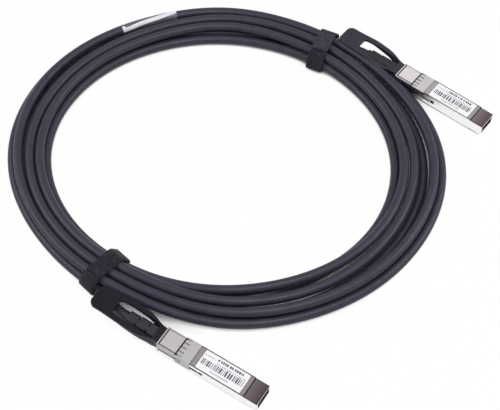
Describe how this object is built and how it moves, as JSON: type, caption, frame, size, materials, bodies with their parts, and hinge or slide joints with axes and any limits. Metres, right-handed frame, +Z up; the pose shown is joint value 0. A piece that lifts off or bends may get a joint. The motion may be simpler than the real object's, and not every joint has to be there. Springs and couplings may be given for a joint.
{
  "type": "direct attach copper cable",
  "caption": "Coiled twin-axial copper cable with a metal pluggable module, release slider and pull tab at each end, held by two hook-and-loop straps.",
  "frame": {"origin": "On the surface that the cable lies on, at the middle of the box around every piece except the loose cord (coil and leads)", "axes": "+Z up out of the surface; +Y across the coil, from the plug with the lower number (a) towards plug b; +X along the coil's long way, from the strapped lower left to plug b's side"},
  "size_m": [0.3048, 0.2889, 0.014],
  "materials": {
    "shell": "satin nickel plating on die-cast zinc",
    "collar": "bright plated spring sheet",
    "slider": "stamped and polished",
    "screw": "plain",
    "spring": "plain wire",
    "ferrule": "plain",
    "board": "glass-epoxy laminate with solder mask",
    "gold": "gold flash",
    "chip": "moulded package",
    "foil": "foil-wrapped insulated pairs",
    "label": "matt printed sticker",
    "tab": "moulded, fine grain",
    "boot": "semi-gloss overmoulding",
    "jacket": "smooth PVC, satin",
    "strap": "hook-and-loop tape, loop side out",
    "marker": "self-laminating wrap"
  },
  "bodies": {
    "cable": {"shell_top_a": "shell", "shell_bottom_a": "shell", "circuit_board_a": "board", "board_contacts_a": "gold", "board_components_a": "chip", "conductor_pairs_a": "foil", "crimp_ferrule_a": "ferrule", "emi_collar_a": "collar", "shell_screw_a": "screw", "rating_label_a": "label", "strain_relief_a": "boot", "return_spring_left_a": "spring", "return_spring_right_a": "spring", "shell_top_b": "shell", "shell_bottom_b": "shell", "circuit_board_b": "board", "board_contacts_b": "gold", "board_components_b": "chip", "conductor_pairs_b": "foil", "crimp_ferrule_b": "ferrule", "emi_collar_b": "collar", "shell_screw_b": "screw", "rating_label_b": "label", "strain_relief_b": "boot", "return_spring_left_b": "spring", "return_spring_right_b": "spring", "cable_coil": "jacket", "cable_lead_a": "jacket", "cable_lead_b": "jacket", "strap_upper": "strap", "strap_lower": "strap", "wrap_marker": "marker"},
    "release_a": {"release_slider_a": "slider", "pull_tab_a": "tab"},
    "release_b": {"release_slider_b": "slider", "pull_tab_b": "tab"}
  },
  "joints": [
    {"name": "release_slide_a", "type": "slide", "parent": "cable", "child": "release_a", "axis": [-0.8415, 0.5402, 0], "range_m": [0, 0.002], "stiffness_N_per_m": 800, "springref_m": -0.001, "deforming": ["return_spring_left_a", "return_spring_right_a"]},
    {"name": "release_slide_b", "type": "slide", "parent": "cable", "child": "release_b", "axis": [-0.7782, 0.628, 0], "range_m": [0, 0.002], "stiffness_N_per_m": 800, "springref_m": -0.001, "deforming": ["return_spring_left_b", "return_spring_right_b"]}
  ]
}
